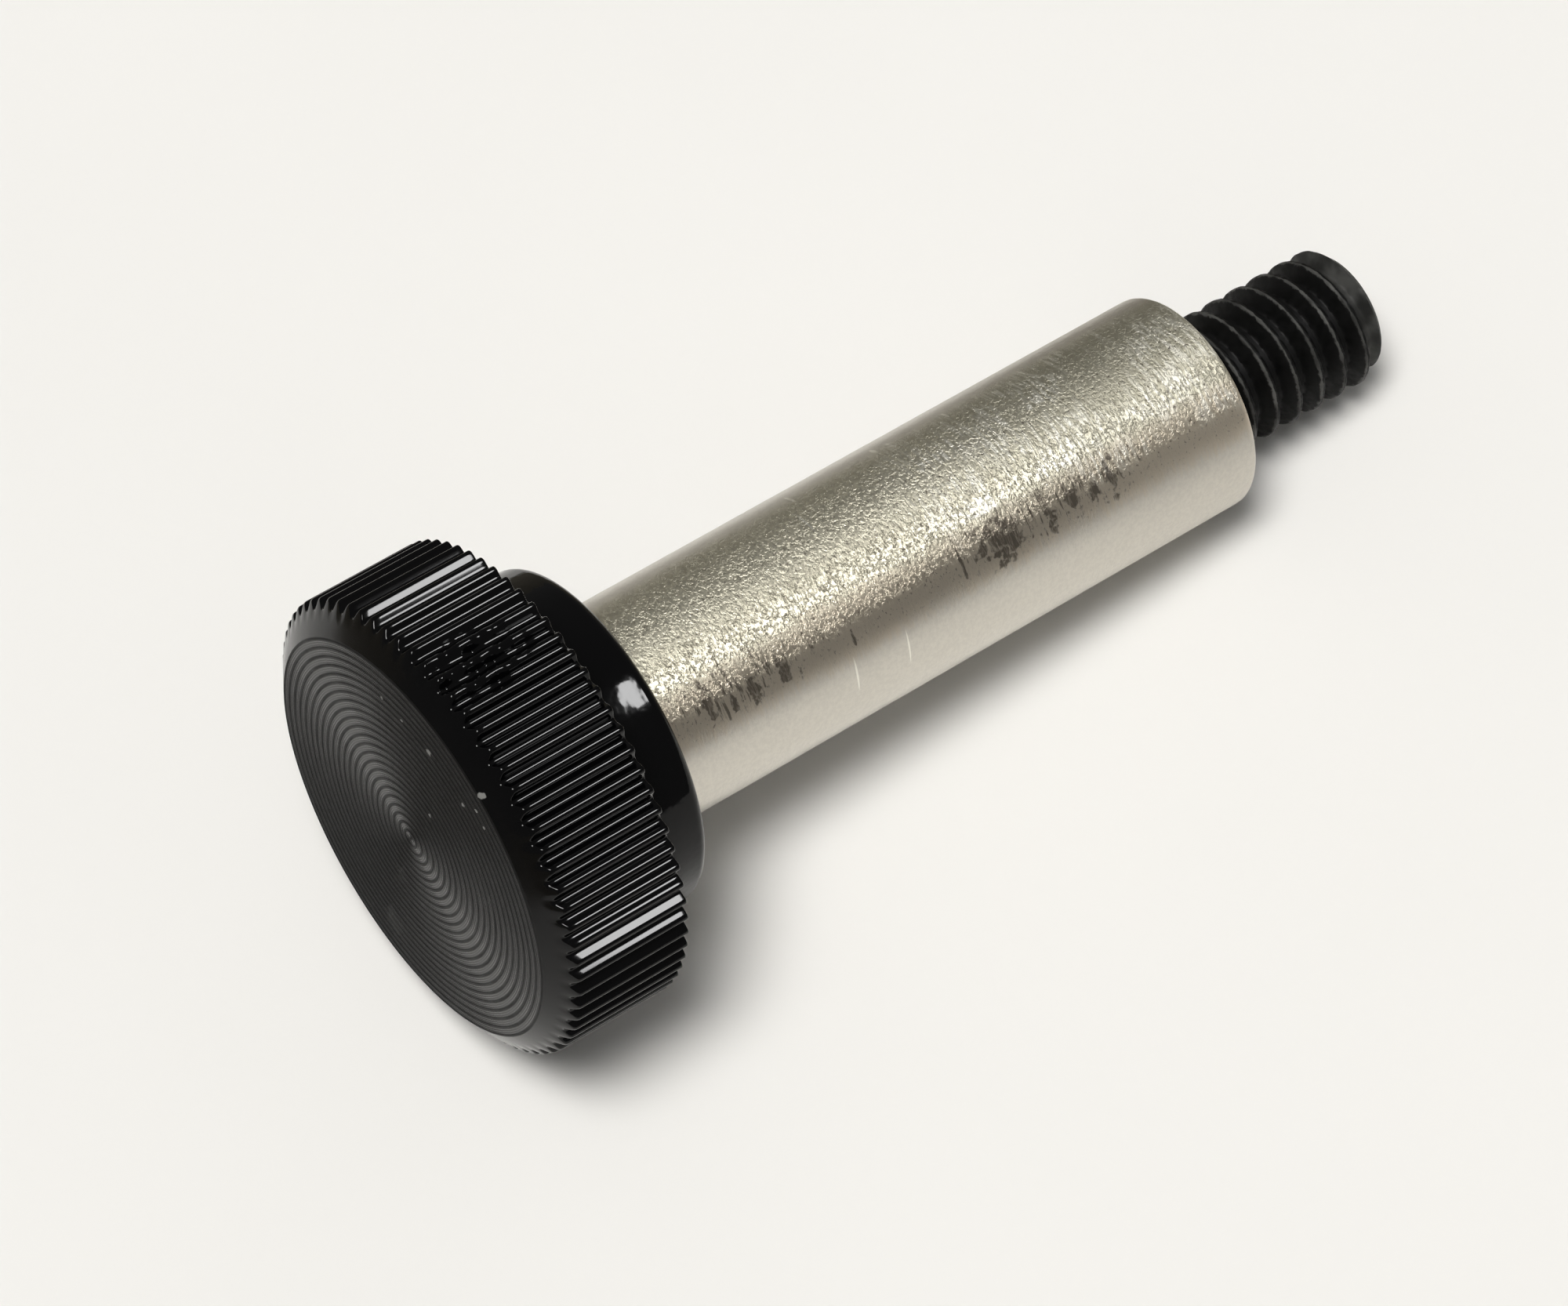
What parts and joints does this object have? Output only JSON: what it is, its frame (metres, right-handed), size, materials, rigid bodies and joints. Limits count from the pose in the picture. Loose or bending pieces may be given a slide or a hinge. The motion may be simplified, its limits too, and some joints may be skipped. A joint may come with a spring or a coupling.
{
  "type": "thumb screw",
  "caption": "Thumb screw with a straight-knurled round head and collar, a plain cylindrical shank and a narrower threaded end, turned by hand to locate and clamp a part.",
  "frame": {"origin": "centre of the knob's flat face, on which the screw stands", "axes": "+Z along the screw's axis, from the knob's face to the threaded tip; +X through the top of a knurl tooth"},
  "size_m": [0.021, 0.021, 0.0497],
  "materials": {
    "black_anodised": "glossy black anodised aluminium, ring-turned on the face",
    "worn_nickel": "satin nickel-plated steel, speckled and scuffed",
    "black_oxide": "matt black oxide on steel, with rubbed thread crests"
  },
  "bodies": {
    "root": {"knob": "black_anodised", "shank": "worn_nickel", "threaded_stud": "black_oxide"}
  },
  "joints": []
}
